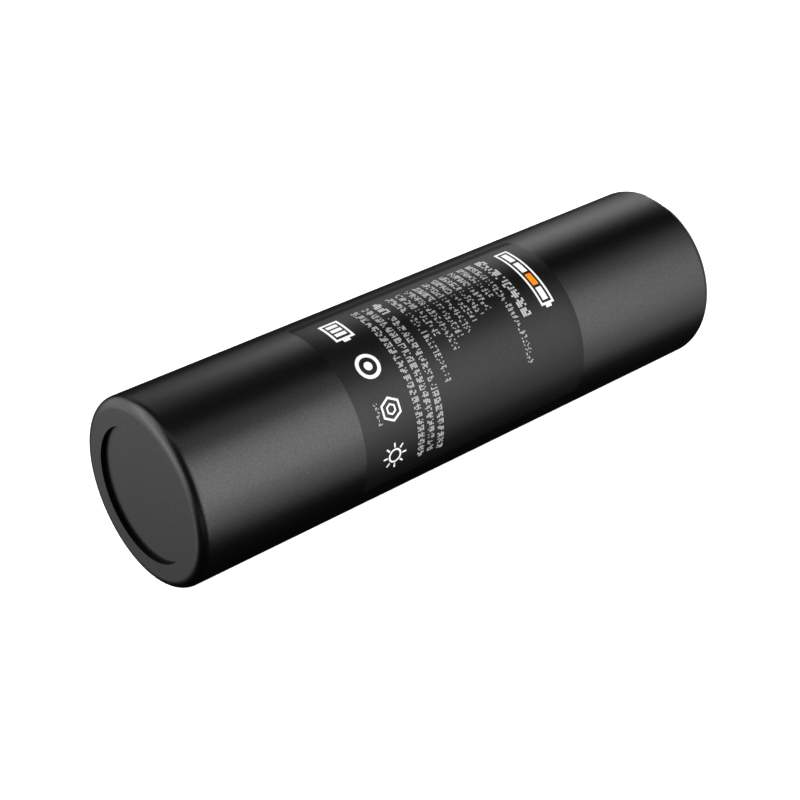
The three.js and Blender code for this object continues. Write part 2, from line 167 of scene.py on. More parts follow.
def cad_section(node, angle):
    """Where the half plane at this angle cuts a CAD node: closed runs of (radius, height)."""
    turn = math.radians(angle)
    outwards = Vector((0, -math.sin(turn), math.cos(turn)))
    across = Vector((0, math.cos(turn), math.sin(turn)))
    bm = bmesh.new()
    bm.from_mesh(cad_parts[node].data)
    bmesh.ops.remove_doubles(bm, verts=bm.verts, dist=1e-7)
    geometry = bm.verts[:] + bm.edges[:] + bm.faces[:]
    cut = bmesh.ops.bisect_plane(bm, geom=geometry, dist=1e-8, plane_co=(0, 0, 0), plane_no=across)

    def flat(vertex):
        return vertex.co.dot(outwards) / MM, (vertex.co.x - END_X) / MM

    links = {}
    for edge in cut["geom_cut"]:
        if not isinstance(edge, bmesh.types.BMEdge):
            continue
        (r0, h0), (r1, h1) = sorted(flat(v) for v in edge.verts)
        if r1 < 1e-4:
            continue
        if r0 < -1e-4:
            h0 -= (h1 - h0) * r0 / (r1 - r0)
            r0 = 0.0
        a = (round(max(r0, 0), 4) + 0.0, round(h0, 4))
        b = (round(r1, 4), round(h1, 4))
        if a != b:
            links.setdefault(a, set()).add(b)
            links.setdefault(b, set()).add(a)
    bm.free()
    return [tidy_run(run) for run in runs_of(links)]


def runs_of(links):
    """The chains of linked points: those that start on the axis first, then the closed loops."""
    left = {a: set(b) for a, b in links.items()}
    runs = []
    starts = sorted(p for p in left if len(left[p]) == 1) + sorted(left)
    for start in starts:
        if not left[start]:
            continue
        run = [start]
        while left[run[-1]]:
            here = run[-1]
            there = min(left[here])
            left[here].discard(there)
            left[there].discard(here)
            run.append(there)
        runs.append(run)
    return runs


def tidy_run(run):
    """Drops the repeated last point and the points in the middle of straight lines."""
    closed = run[0] == run[-1]
    if closed:
        run = run[:-1]
    kept = []
    for i, here in enumerate(run):
        if not closed and i in (0, len(run) - 1):
            kept.append(here)
            continue
        before = Vector(run[i - 1]) - Vector(here)
        after = Vector(run[(i + 1) % len(run)]) - Vector(here)
        bend = before.x * after.y - before.y * after.x
        if abs(bend) > 1e-4 * before.length * after.length + 1e-7:
            kept.append(here)
    return kept if signed_area(kept) > 0 else kept[::-1]


def supported(profile, reach=0.12):
    """The profile with a point close to each end of every long edge, to keep its shading flat."""
    closed = profile[0][0] > 1e-6
    result = []
    for i, here in enumerate(profile):
        result.append(here)
        if not closed and i == len(profile) - 1:
            break
        a = Vector(here)
        b = Vector(profile[(i + 1) % len(profile)])
        if (b - a).length > 6 * reach:
            along = (b - a).normalized() * reach
            result += [tuple(a + along), tuple(b - along)]
    return result


# -------- surfaces


def turned(name, profile, segments=ROUND):
    """A turned solid. The profile runs up outside and down inside, closed or axis to axis."""
    profile = supported(profile)
    on_axis = profile[0][0] < 1e-6
    rings = profile[1:-1] if on_axis else profile
    count = len(rings)
    vertices = [point(h, r, 360 * j / segments) for r, h in rings for j in range(segments)]
    faces = []
    last = count - 1 if on_axis else count
    for i in range(last):
        a = i * segments
        b = (i + 1) % count * segments
        for j in range(segments):
            k = (j + 1) % segments
            faces.append((a + j, a + k, b + k, b + j))
    if on_axis:
        centre = len(vertices)
        vertices.append(point(profile[0][1], 0, 0))
        vertices.append(point(profile[-1][1], 0, 0))
        top = (count - 1) * segments
        for j in range(segments):
            k = (j + 1) % segments
            faces.append((centre, k, j))
            faces.append((centre + 1, top + j, top + k))
    return add_mesh(name, vertices, faces)


def loft(name, rings, smooth_angle=35):
    """A closed skin through rings of points, with both ends filled."""
    count = len(rings[0])
    vertices = [at for ring in rings for at in ring]
    faces = []
    for i in range(len(rings) - 1):
        for j in range(count):
            k = (j + 1) % count
            faces.append((i * count + j, (i + 1) * count + j, (i + 1) * count + k, i * count + k))
    faces.append(tuple(range(count)))
    last = (len(rings) - 1) * count
    faces.append(tuple(last + j for j in reversed(range(count))))
    return add_mesh(name, vertices, faces, smooth_angle)


def corner_inset(distance, radius):
    """How far a rounded corner draws an edge in, this far from the neighbouring edge."""
    if distance >= radius:
        return 0
    return radius - math.sqrt(max(0, radius**2 - (radius - distance) ** 2))


def bent_sheet(name, inner, outer, from_angle, to_angle, bottom, top, corner, edge):
    """A sheet bent round the axis, with rounded corners and softened edges on its outer face."""
    degree = math.radians(1) * (inner + outer) / 2
    turn = corner / degree
    near = [turn * (1 - math.cos(math.radians(90 * i / 8))) for i in range(9)]
    span = to_angle - from_angle - 2 * turn
    steps = math.ceil(span / 3)
    angles = [from_angle + a for a in near]
    angles += [from_angle + turn + span * i / steps for i in range(1, steps)]
    angles += [to_angle - a for a in reversed(near)]
    rings = []
    for angle in angles:
        side = min(angle - from_angle, to_angle - angle) * degree
        inset = corner_inset(side, corner)
        low, high = bottom + inset, top - inset
        section = [(low, inner), (low, outer - edge), (low + edge, outer)]
        section += [(high - edge, outer), (high, outer - edge), (high, inner)]
        rings.append([point(height, radius, angle) for height, radius in section])
    return loft(name, rings)


def folded_strip(name, path, width, thickness, angle, across=0.0, bow=0.0):
    """A strip folded along corners of (out, height), in the plane at this angle round the axis.

    The face of a strip with a bow curves to that radius where it lies that far out."""
    corners = [Vector(at) for at in softened(path, 3 * thickness, 5, closed=False)]
    columns = 9 if bow else 2
    rings = []
    for i, here in enumerate(corners):
        ahead = corners[min(i + 1, len(corners) - 1)]
        behind = corners[max(i - 1, 0)]
        tangent = (ahead - behind).normalized()
        normal = Vector((-tangent.y, tangent.x)) * thickness / 2
        curved = max(0, (here.x - bow / 2) / (bow / 2)) if bow else 0
        ring = []
        for side in (1, -1):
            out, height = here + normal * side
            for j in range(columns):
                aside = side * width * (j / (columns - 1) - 0.5)
                fall = curved * (bow - math.sqrt(bow**2 - aside**2)) if bow else 0
                ring.append(point(height, out - fall, angle, across + aside))
        rings.append(ring)
    return loft(name, rings)


def rounded_block(name, x0, x1, y0, y1, bottom, top, radius):
    """A block with rounded edges."""
    bm = bmesh.new()
    bmesh.ops.create_cube(bm, size=1)
    for vertex in bm.verts:
        x = x0 if vertex.co.x < 0 else x1
        y = y0 if vertex.co.y < 0 else y1
        height = bottom if vertex.co.z < 0 else top
        vertex.co = place(x, y, height)
    bm.normal_update()
    edges = bm.edges[:]
    bmesh.ops.bevel(bm, geom=edges, offset=radius * MM, segments=3, profile=0.5, affect="EDGES")
    return add_object(name, bm)


def circle(x, y, radius, steps, offset=0.0):
    """Points round a circle; the offset, in steps, turns the first one off the axis."""
    turns = [2 * math.pi * (i + offset) / steps for i in range(steps)]
    return [(x + radius * math.cos(turn), y + radius * math.sin(turn)) for turn in turns]


def pin(name, radius, x, y, bottom, top):
    """A round pin along the axis, away from the middle."""
    outline = circle(x, y, radius, 32, 0.5)
    return loft(name, [[place(*at, height) for at in outline] for height in (bottom, top)])


def combine(piece, operation, *tools):
    """Cuts tools out of a piece, or joins them to it. The tools are used up."""
    for tool in tools:
        modifier = piece.modifiers.new(tool.name, "BOOLEAN")
        modifier.operation = operation
        modifier.solver = "EXACT"
        modifier.object = tool
    evaluated = piece.evaluated_get(bpy.context.evaluated_depsgraph_get())
    mesh = bpy.data.meshes.new_from_object(evaluated)
    piece.modifiers.clear()
    piece.data = mesh
    smooth(mesh)
    for tool in tools:
        bpy.data.objects.remove(tool)


def merged(name, parts):
    """One object of several separate parts, which are used up."""
    bm = bmesh.new()
    for part in parts:
        bm.from_mesh(part.data)
        bpy.data.objects.remove(part)
    return add_object(name, bm)


# -------- materials


GRAIN_GLOSS = 0.3  # how far the grain sways the gloss either way
ALONG = (0.06, 1, 1)  # stretches a grain out along the battery


class Shader:
    """A new node material, with short ways to add and link nodes."""

    def __init__(self, name):
        self.material = bpy.data.materials.new(name)
        self.material.use_nodes = True
        self.nodes = self.material.node_tree.nodes
        self.links = self.material.node_tree.links
        self.surface = self.nodes["Principled BSDF"]
        self.place = self.nodes.new("ShaderNodeTexCoord").outputs["Object"]

    def set(self, **values):
        for name, value in values.items():
            self.surface.inputs[name.replace("_", " ")].default_value = value

    def noise(self, size_mm, detail=2.0, stretch=(1, 1, 1)):
        """Noise whose features are about size_mm across."""
        scale = self.nodes.new("ShaderNodeMapping")
        scale.inputs["Scale"].default_value = stretch
        self.links.new(self.place, scale.inputs["Vector"])
        noise = self.nodes.new("ShaderNodeTexNoise")
        noise.inputs["Scale"].default_value = 1 / (size_mm * MM)
        noise.inputs["Detail"].default_value = detail
        self.links.new(scale.outputs["Vector"], noise.inputs["Vector"])
        return noise.outputs["Fac"]

    def cells(self, size_mm):
        """Rounded cells about size_mm across, dark in their middles."""
        cells = self.nodes.new("ShaderNodeTexVoronoi")
        cells.inputs["Scale"].default_value = 1 / (size_mm * MM)
        self.links.new(self.place, cells.inputs["Vector"])
        return cells.outputs["Distance"]

    def waves(self, pitch_mm, form, direction):
        """Rings or bands, pitch_mm apart; rings go round the direction and bands along it."""
        wave = self.nodes.new("ShaderNodeTexWave")
        wave.wave_type = form
        wave.rings_direction = direction
        wave.bands_direction = direction
        wave.inputs["Scale"].default_value = math.tau / 20 / (pitch_mm * MM)
        self.links.new(self.place, wave.inputs["Vector"])
        return wave.outputs["Fac"]

    def weave(self, pitch_mm):
        """Threads that cross at right angles in the plane across the axis."""
        product = self.nodes.new("ShaderNodeMath")
        product.operation = "MULTIPLY"
        for i, direction in enumerate("YZ"):
            self.links.new(self.waves(pitch_mm, "BANDS", direction), product.inputs[i])
        return product.outputs["Value"]

    def spread(self, value, low_end, high_end, target):
        """A 0 to 1 value spread over a range, for one of the surface's inputs."""
        node = self.nodes.new("ShaderNodeMapRange")
        node.inputs["To Min"].default_value = low_end
        node.inputs["To Max"].default_value = high_end
        self.links.new(value, node.inputs["Value"])
        self.links.new(node.outputs["Result"], self.surface.inputs[target])

    def tint(self, value, dark, light):
        """A colour between two, by a 0 to 1 value."""
        node = self.nodes.new("ShaderNodeMix")
        node.data_type = "RGBA"
        node.inputs["A"].default_value = (*dark, 1)
        node.inputs["B"].default_value = (*light, 1)
        self.links.new(value, node.inputs["Factor"])
        self.links.new(node.outputs["Result"], self.surface.inputs["Base Color"])

    def rough(self, value, low_end, high_end):
        self.spread(value, low_end, high_end, "Roughness")

    def gloss(self, value, low_end, high_end):
        self.spread(value, low_end, high_end, "Specular IOR Level")

    def bump(self, value, depth_mm):
        node = self.nodes.new("ShaderNodeBump")
        node.inputs["Distance"].default_value = depth_mm * MM
        self.links.new(value, node.inputs["Height"])
        self.links.new(node.outputs["Normal"], self.surface.inputs["Normal"])


def grained(name, dark, light, roughness, grain_mm, depth_mm, stretch=(1, 1, 1), **settings):
    """A plain stuff, such as moulded plastic or film, with fine grain and slightly uneven gloss."""
    shader = Shader(name)
    shader.set(**settings)
    grain = shader.noise(grain_mm, 3.0, stretch)
    shader.tint(shader.noise(2.5), dark, light)
    shader.rough(shader.noise(6.0), roughness - 0.015, roughness + 0.015)
    shader.gloss(grain, 0.5 - GRAIN_GLOSS, 0.5 + GRAIN_GLOSS)
    shader.bump(grain, depth_mm)
    return shader.material


def printed_ink(name, colour, painted_glow):
    """Screen ink: matt, a little uneven, with a painted glow: an emission that makes it give out
    some light of its own.
    """
    shader = Shader(name)
    darker = tuple(0.94 * channel for channel in colour)
    shader.tint(shader.noise(0.4), darker, colour)
    shader.rough(shader.noise(0.2), 0.45, 0.6)
    shader.set(Emission_Color=(*colour, 1), Emission_Strength=painted_glow)
    return shader.material


def metal(name, dark, light, roughness, grain_mm, depth_mm, stretch=(1, 1, 1)):
    """Sheet metal with a rolled or stamped grain."""
    shader = Shader(name)
    shader.set(Metallic=1.0)
    grain = shader.noise(grain_mm, 3.0, stretch)
    shader.tint(grain, dark, light)
    shader.rough(shader.noise(1.5), roughness - 0.05, roughness + 0.08)
    shader.bump(grain, depth_mm)
    return shader.material


def turned_metal(name, dark, light, roughness, pitch_mm, depth_mm):
    """Metal with the fine rings that turning leaves."""
    shader = Shader(name)
    shader.set(Metallic=1.0)
    shader.tint(shader.noise(1.5), dark, light)
    shader.rough(shader.noise(2.5), roughness - 0.02, roughness + 0.03)
    shader.bump(shader.waves(pitch_mm, "RINGS", "X"), depth_mm)
    return shader.material


def open_foam(name, dark, light):
    """Soft foam with small open cells."""
    shader = Shader(name)
    cells = shader.cells(0.35)
    shader.tint(cells, dark, light)
    shader.rough(shader.noise(1.0), 0.85, 1.0)
    shader.bump(cells, 0.12)
    return shader.material


def fibre_sheet(name, dark, light):
    """Pressed insulating paper: matt, with long fibres that show."""
    shader = Shader(name)
    shader.tint(shader.noise(1.2, 6.0, (0.3, 1, 1)), dark, light)
    shader.rough(shader.noise(0.5), 0.75, 0.9)
    shader.bump(shader.noise(0.12, 4.0, (0.15, 1, 1)), 0.01)
    return shader.material


def laminate(name, dark, light):
    """Circuit board: a glossy mask over glass cloth, whose weave shows faintly."""
    shader = Shader(name)
    cloth = shader.weave(0.4)
    shader.tint(cloth, dark, light)
    shader.rough(shader.noise(1.5), 0.25, 0.4)
    shader.bump(cloth, 0.004)
    return shader.material


def grey(value):
    return (value, value, value)


housing_plastic = grained("housing_plastic", grey(0.0007), grey(0.0011), 0.3, 0.12, 0.0035)
film_dark, film_light = (0.0048, 0.0044, 0.0045), (0.0054, 0.0049, 0.0051)
label_film = grained("label_film", film_dark, film_light, 0.34, 0.12, 0.003, IOR=1.33)
# painted shade: the film's long margins reflect less, for a dark line along its edges
label_edge_painted_shade = grained("label_edge_painted_shade", film_dark, film_light, 0.4, 0.12, 0.003, IOR=1.18)
# painted shade: the recess's side wall reflects much less than the housing, so it stays dark
recess_side_painted_shade = grained("recess_side_painted_shade", grey(0.001), grey(0.0014), 0.6, 0.12, 0.0035, IOR=1.15)
cap_plastic = grained("cap_plastic", grey(0.0035), grey(0.0048), 0.38, 0.1, 0.005)
# Each ink's last number is a painted glow, an emission that keeps the print bright.
white_ink = printed_ink("white_ink", grey(0.88), 0.12)
title_ink = printed_ink("title_ink", grey(0.5), 0.1)
small_ink = printed_ink("small_ink", grey(0.4), 0.1)
orange_ink = printed_ink("orange_ink", (1.0, 0.27, 0.0), 0.12)
gold_plate = turned_metal("gold_plate", (0.78, 0.52, 0.2), (0.92, 0.66, 0.3), 0.26, 0.1, 0.0006)
foam = open_foam("foam", grey(0.012), grey(0.03))
board_laminate = laminate("board_laminate", (0.005, 0.055, 0.022), (0.009, 0.08, 0.034))
chip_plastic = grained("chip_plastic", grey(0.011), grey(0.016), 0.55, 0.06, 0.006)
chip_ceramic = grained("chip_ceramic", (0.3, 0.21, 0.12), (0.37, 0.27, 0.16), 0.5, 0.05, 0.003)
seal_nylon = grained("seal_nylon", (0.62, 0.59, 0.5), (0.72, 0.69, 0.6), 0.45, 0.2, 0.004)
fibre_paper = fibre_sheet("fibre_paper", (0.3, 0.37, 0.26), (0.42, 0.49, 0.36))
nickel = metal("nickel", (0.5, 0.48, 0.44), (0.66, 0.64, 0.59), 0.3, 0.2, 0.002, ALONG)
sleeve_film = grained("sleeve_film", (0.02, 0.085, 0.23), (0.028, 0.105, 0.28), 0.22, 0.8, 0.01)
can_steel = metal("can_steel", grey(0.4), grey(0.52), 0.28, 0.2, 0.002, ALONG)
aluminium = metal("aluminium", grey(0.66), grey(0.8), 0.34, 0.15, 0.003)
ptc_polymer = grained("ptc_polymer", grey(0.035), grey(0.055), 0.65, 0.1, 0.006)
cathode_coat = grained("cathode_coat", grey(0.038), grey(0.052), 0.8, 0.05, 0.006, Metallic=0.2)
anode_coat = grained(
    "anode_coat", (0.055, 0.037, 0.026), (0.08, 0.055, 0.04), 0.6, 0.05, 0.005, ALONG, Metallic=0.4
)
separator_film = grained(
    "separator_film", grey(0.72), grey(0.82), 0.4, 0.3, 0.004, ALONG, Sheen_Weight=0.2
)
tape_film = grained(
    "tape_film", (0.4, 0.17, 0.02), (0.5, 0.24, 0.035), 0.35, 0.4, 0.003, Coat_Weight=0.4
)


# -------- housing

CLOSED_END_FILLET = 1.15
LIP_ROUND = 1.0
RECESS_RADIUS = 7.55
RECESS_DEPTH = 0.5
BORE_RADIUS = 9.5
FLOOR_INSIDE = 1.9
CORNER = 0.4


def paint_recess_side_shade(tube):
    """Gives the recess's side wall a rough, weakly reflecting finish: painted shade that keeps the
    wall dark.
    """
    tube.data.materials.append(recess_side_painted_shade)
    for face in tube.data.polygons:
        straight_in = abs(face.normal.x) < 0.1
        if straight_in and face.center.x < END_X + RECESS_DEPTH * MM:
            outwards = math.hypot(face.center.y, face.center.z)
            if outwards < (RECESS_RADIUS + 0.1) * MM:
                face.material_index = 1


def build_housing():
    """One moulding: a closed end with a sharp-edged recess, a plain tube and a rounded lip."""
    profile = [(0, RECESS_DEPTH), (RECESS_RADIUS, RECESS_DEPTH), (RECESS_RADIUS, 0)]
    profile += arc((RADIUS - CLOSED_END_FILLET, CLOSED_END_FILLET), CLOSED_END_FILLET, -90, 0, 20)
    profile += arc((RADIUS - LIP_ROUND, LENGTH - LIP_ROUND), LIP_ROUND, 0, 90, 16)
    profile += [(BORE_RADIUS, LENGTH)]
    profile += arc((BORE_RADIUS - CORNER, FLOOR_INSIDE + CORNER), CORNER, 0, -90, 5)
    profile += [(0, FLOOR_INSIDE)]
    tube = turned("housing", profile, 256)
    finish_piece(tube, housing_plastic, "case_tube")
    paint_recess_side_shade(tube)


build_housing()

# -------- label and its print

LABEL_START = 20.8
LABEL_END = 52.8
LABEL_FROM = -14.5
LABEL_TO = 112.5
LABEL_CORNER = 0.55
FILM = 0.066
FILM_EDGE = 0.004  # thickness left at the film's pressed-down edge
EDGE_REACH = 1.0  # the film comes up to its full thickness this far in from its long edges
END_REACH = 2.4  # and this far in from its short ends
INK = 0.012
INK_FOOT = RADIUS + FILM - 0.006
INK_TOP = RADIUS + FILM + INK
DEGREE = math.radians(1) * RADIUS  # arc length of one degree


def film_rise(distance, reach, power):
    """How far up the film has come at this distance from its edge, from 0 to 1."""
    return 1 - (1 - min(1, distance / reach)) ** power


def film_thickness(from_side, from_end):
    """The film's thickness at these distances from its nearest long edge and short end."""
    sides = film_rise(from_side, EDGE_REACH, 1.3)
    ends = film_rise(from_end, END_REACH, 2)
    return FILM_EDGE + (FILM - FILM_EDGE) * sides * ends


def label_columns():
    """Arc positions of the label's columns, close together at both long edges."""
    near = [LABEL_CORNER * (1 - math.cos(math.radians(90 * i / 8))) for i in range(9)]
    near += [LABEL_CORNER + (EDGE_REACH - LABEL_CORNER) * i / 3 for i in range(1, 4)]
    start, end = LABEL_FROM * DEGREE, LABEL_TO * DEGREE
    span = end - start - 2 * EDGE_REACH
    middle = 60
    between = [start + EDGE_REACH + span * i / middle for i in range(1, middle)]
    return [start + n for n in near] + between + [end - n for n in reversed(near)]


def paint_margin_shade(film):
    """Gives the film's two sloping long margins a duller, weakly reflecting finish: partly the
    slope, partly painted shade, a dark line along the film's long edges.
    """
    film.data.materials.append(label_edge_painted_shade)
    margin = EDGE_REACH / DEGREE
    for face in film.data.polygons:
        angle = math.degrees(math.atan2(-face.center.y, face.center.z))
        if min(angle - LABEL_FROM, LABEL_TO - angle) < margin:
            face.material_index = 1


def build_label():
    """The film, domed a little: it is pressed flat on the housing along its outline."""
    steps = [END_REACH * (i / 8) ** 1.5 for i in range(9)]
    columns = label_columns()
    rings = []
    for v in columns:
        side = min(v - columns[0], columns[-1] - v)
        inset = corner_inset(side, LABEL_CORNER)
        heights = [LABEL_START + inset + step for step in steps]
        heights += [LABEL_END - inset - step for step in reversed(steps)]
        ring = []
        for u in heights:
            film = film_thickness(side, min(u - LABEL_START, LABEL_END - u))
            ring.append(point(u, RADIUS + film, v / DEGREE))
        ring.append(point(heights[-1], RADIUS, v / DEGREE))
        ring.append(point(heights[0], RADIUS, v / DEGREE))
        rings.append(ring)
    film = loft("label_sheet", rings, 30)
    finish_piece(film, label_film, "label")
    paint_margin_shade(film)


build_label()


class Ink:
    """Thin printed marks on the label, gathered in one mesh.

    A mark is drawn flat: u is the height along the axis, v the arc length round it from angle 0."""

    STEP = 0.35  # marks are cut up this finely, so that they follow the curve

    def __init__(self):
        self.vertices = []
        self.faces = []

    def patch(self, outline):
        """One small closed patch over a convex outline of (u, v) points."""
        first = len(self.vertices)
        count = len(outline)
        for radius in (INK_FOOT, INK_TOP):
            self.vertices += [point(u, radius, v / DEGREE) for u, v in outline]
        self.faces.append(tuple(first + i for i in range(count)))
        self.faces.append(tuple(first + count + i for i in reversed(range(count))))
        for i in range(count):
            k = (i + 1) % count
            self.faces.append((first + k, first + i, first + count + i, first + count + k))

    def sweep(self, sides, closed=False):
        """A closed stroke between pairs of (u, v) points on its two sides."""
        first = len(self.vertices)
        count = len(sides)
        for (u0, v0), (u1, v1) in sides:
            corners = ((u0, v0, INK_FOOT), (u1, v1, INK_FOOT), (u1, v1, INK_TOP), (u0, v0, INK_TOP))
            self.vertices += [point(u, radius, v / DEGREE) for u, v, radius in corners]
        for i in range(count if closed else count - 1):
            a = first + 4 * i
            b = first + 4 * ((i + 1) % count)
            for j in range(4):
                k = (j + 1) % 4
                self.faces.append((a + k, b + k, b + j, a + j))
        if not closed:
            end = first + 4 * (count - 1)
            self.faces.append(tuple(first + j for j in reversed(range(4))))
            self.faces.append(tuple(end + j for j in range(4)))

    def bar(self, u0, u1, v0, v1):
        """A rectangle along the axes of the label."""
        steps = max(1, math.ceil((v1 - v0) / self.STEP))
        across = [v0 + (v1 - v0) * i / steps for i in range(steps + 1)]
        self.sweep([((u0, v), (u1, v)) for v in across])

    def ribbon(self, path, width, closed=False):
        """A stroke of even width along a path, with mitred corners."""
        points = [Vector(p) for p in path]
        dense = []
        count = len(points)
        for i in range(count if closed else count - 1):
            a, b = points[i], points[(i + 1) % count]
            steps = max(1, math.ceil((b - a).length / self.STEP))
            dense += [a.lerp(b, k / steps) for k in range(steps)]
        if not closed:
            dense.append(points[-1])
        sides = []
        total = len(dense)
        for i, here in enumerate(dense):
            at_end = not closed and i == total - 1
            ahead = here - dense[i - 1] if at_end else dense[(i + 1) % total] - here
            behind = here - dense[i - 1] if closed or i > 0 else ahead
            ahead, behind = ahead.normalized(), behind.normalized()
            normal = Vector((-(ahead.y + behind.y), ahead.x + behind.x)).normalized()
            stretch = 1 / max(0.5, normal.dot(Vector((-ahead.y, ahead.x))))
            offset = normal * width / 2 * stretch
            sides.append((here + offset, here - offset))
        self.sweep(sides, closed)

    def ring(self, u, v, radius, width):
        self.ribbon(circle(u, v, radius, 32), width, True)

    def disc(self, u, v, radius):
        self.patch(circle(u, v, radius, 20))

    def build(self, name, material):
        marks = add_mesh(name, self.vertices, self.faces, 40)
        finish_piece(marks, material, slot="label_film")


# Unreadable marks stand for print. A mark is a small grid of tiles, of which a share is inked.
TILE_ROWS = 4
WIDE, NARROW = 4, 2  # columns of tiles
INKED_SHARE = {WIDE: 0.66, NARROW: 0.48}
TILE_TRIM = 0.12  # share of a tile's height left bare at its edges

# Each style gives a mark's height, its pitch along the row, the gap after it and its columns.
TITLE_MARK = (1.25, 1.14, 0.16, WIDE)
HEADING_MARK = (1.15, 1.1, 0.14, WIDE)
KEY_MARK = (0.88, 0.76, 0.1, WIDE)
VALUE_MARK = (0.88, 0.47, 0.16, NARROW)
LINE_MARK = (0.92, 0.8, 0.18, WIDE)
ICON_MARK = (0.55, 0.4, 0.12, NARROW)


def speckle(ink, u0, height, v0, width, columns, rng):
    """One mark. Inked tiles that are side by side join up in a short run."""
    tile_u = height / TILE_ROWS
    tile_v = width / columns
    trim = TILE_TRIM * tile_u
    for row in range(TILE_ROWS):
        inked = [rng.random() < INKED_SHARE[columns] for _ in range(columns)]
        column = 0
        while column < columns:
            run = 0
            while column + run < columns and inked[column + run]:
                run += 1
            if run:
                low = u0 + row * tile_u + trim
                start = v0 + column * tile_v
                ink.bar(low, low + tile_u - 2 * trim, start, start + run * tile_v - trim)
            column += run + 1


def mark_row(ink, u, from_angle, to_angle, style, rng):
    """A row of marks between two angles."""
    height, pitch, gap, columns = style
    start, length = from_angle * DEGREE, (to_angle - from_angle) * DEGREE
    count = max(1, round((length + gap) / pitch))
    step = (length + gap) / count
    for i in range(count):
        speckle(ink, u, height, start + i * step, step - gap, columns, rng)


ROW_START = -3  # the angle where every row begins
KEY_END = 13.6
COLON = 15.7
VALUE_START = 17.7
ROW_ENDS = (74, 27, 37, 35, 37, 42, 42, 48, 36, 63)
FIRST_ROW = 44.25  # height of the first row of the table; the others follow down the axis
ROW_PITCH = 1.294

HEADING_END = 8.9
LINE_ENDS = (103, 101, 102)
FIRST_LINE = 30.55
LINE_PITCH = 1.375

TITLE_AT = 45.7
TITLE_END = 47


def build_headings():
    """The title over the table, and the heading of the paragraph."""
    ink = Ink()
    rng = random.Random(3)
    mark_row(ink, TITLE_AT, ROW_START, TITLE_END, TITLE_MARK, rng)
    mark_row(ink, FIRST_LINE, ROW_START, HEADING_END, HEADING_MARK, rng)
    ink.build("print_headings", title_ink)


def build_rows():
    """The table: a short key, a colon and a value in each row."""
    ink = Ink()
    rng = random.Random(7)
    dot = 0.07
    for i, end in enumerate(ROW_ENDS):
        u = FIRST_ROW - i * ROW_PITCH
        mark_row(ink, u, ROW_START, KEY_END, KEY_MARK, rng)
        for share in (0.25, 0.75):
            middle = u + KEY_MARK[0] * share
            ink.bar(middle - dot, middle + dot, COLON * DEGREE - dot, COLON * DEGREE + dot)
        mark_row(ink, u, VALUE_START, end, VALUE_MARK, rng)
    ink.build("print_rows", small_ink)


def build_paragraph():
    """Three lines. The first one begins after its heading."""
    ink = Ink()
    rng = random.Random(5)
    start = HEADING_END + 4
    for i, end in enumerate(LINE_ENDS):
        mark_row(ink, FIRST_LINE - i * LINE_PITCH, start, end, LINE_MARK, rng)
        start = ROW_START
    ink.build("print_paragraph", small_ink)


def box_outline(u0, u1, v0, v1):
    return [(u0, v0), (u1, v0), (u1, v1), (u0, v1)]


def build_gauge():
    """A charge gauge at the head of the label: an outline with a nub and four bars, one orange."""
    u0, u1 = 48.7, 50.6
    v0, v1 = -2.7 * DEGREE, 47 * DEGREE
    line, margin, space = 0.26, 0.3, 0.34
    nub_length, nub_half = 0.35, 0.4
    bars = 4
    half = line / 2
    ink = Ink()
    ink.ribbon(box_outline(u0 + half, u1 - half, v0 + half, v1 - nub_length - half), line, True)
    middle = (u0 + u1) / 2
    ink.bar(middle - nub_half, middle + nub_half, v1 - nub_length, v1)
    orange = Ink()
    start = v0 + line + margin
    end = v1 - nub_length - line - margin
    width = (end - start - space * (bars - 1)) / bars
    for i in range(bars):
        target = orange if i == 2 else ink
        target.bar(u0 + line + margin, u1 - line - margin, start, start + width)
        start += width + space
    ink.build("print_gauge", white_ink)
    orange.build("print_gauge_level", orange_ink)


def draw_battery(ink, u, v):
    half_long, half_wide, line, margin = 1.65, 1.1, 0.3, 0.4
    nub_half, nub_length = 0.45, 0.1
    bar, pitch = 0.5, 0.75
    shoulder = v + half_long - margin
    ink.ribbon(box_outline(u - half_wide, u + half_wide, v - half_long, shoulder), line, True)
    ink.bar(u - nub_half, u + nub_half, shoulder + line / 2, v + half_long + nub_length)
    inside = half_wide - margin
    for i in range(3):
        start = v - half_long + margin + pitch * i
        ink.bar(u - inside, u + inside, start, start + bar)


def draw_target(ink, u, v):
    ink.ring(u, v, 1.25, 0.42)
    ink.disc(u, v, 0.5)


def draw_hexagons(ink, u, v):
    for size, line in ((1.25, 0.24), (0.55, 0.2)):
        ink.ribbon(circle(u, v, size, 6, 0.5), line, True)


def draw_sun(ink, u, v):
    ink.ring(u, v, 0.75, 0.22)
    for inner, outer in zip(circle(u, v, 1.0, 8), circle(u, v, 1.55, 8)):
        ink.ribbon([inner, outer], 0.2)


def build_icons():
    """A row of plain pictograms, with a few small marks beside one of them."""
    ink = Ink()
    u = 24.6
    draw_battery(ink, u, 7 * DEGREE)
    draw_target(ink, u, 36.3 * DEGREE)
    draw_hexagons(ink, u + 0.38, 64 * DEGREE)
    draw_sun(ink, u, 92.4 * DEGREE)
    ink.build("print_icons", white_ink)
    marks = Ink()
    mark_row(marks, u - 1.65, 57.5, 70.5, ICON_MARK, random.Random(11))
    marks.build("print_icon_marks", small_ink)


build_headings()
build_rows()
build_paragraph()
build_gauge()
build_icons()

# -------- end cap and contacts


def fine_turned(node, material, rounding, angle=90, segments=HIDDEN_ROUND, slot=None):
    """A turned CAD node made again, finer, with rounded edges, from its section at this angle."""
    profile = softened(cad_section(node, angle)[0], rounding)
    return finish_piece(turned(node + "_turned", profile, segments), material, node, slot=slot)


LEG_AT = 5.9  # the ring contact's two legs, above and below the axis
LEG_RADIUS = 0.65
LEG_PLAY = 0.15
CLEAR = 1.0  # how far a cutting pin stands out of what it cuts


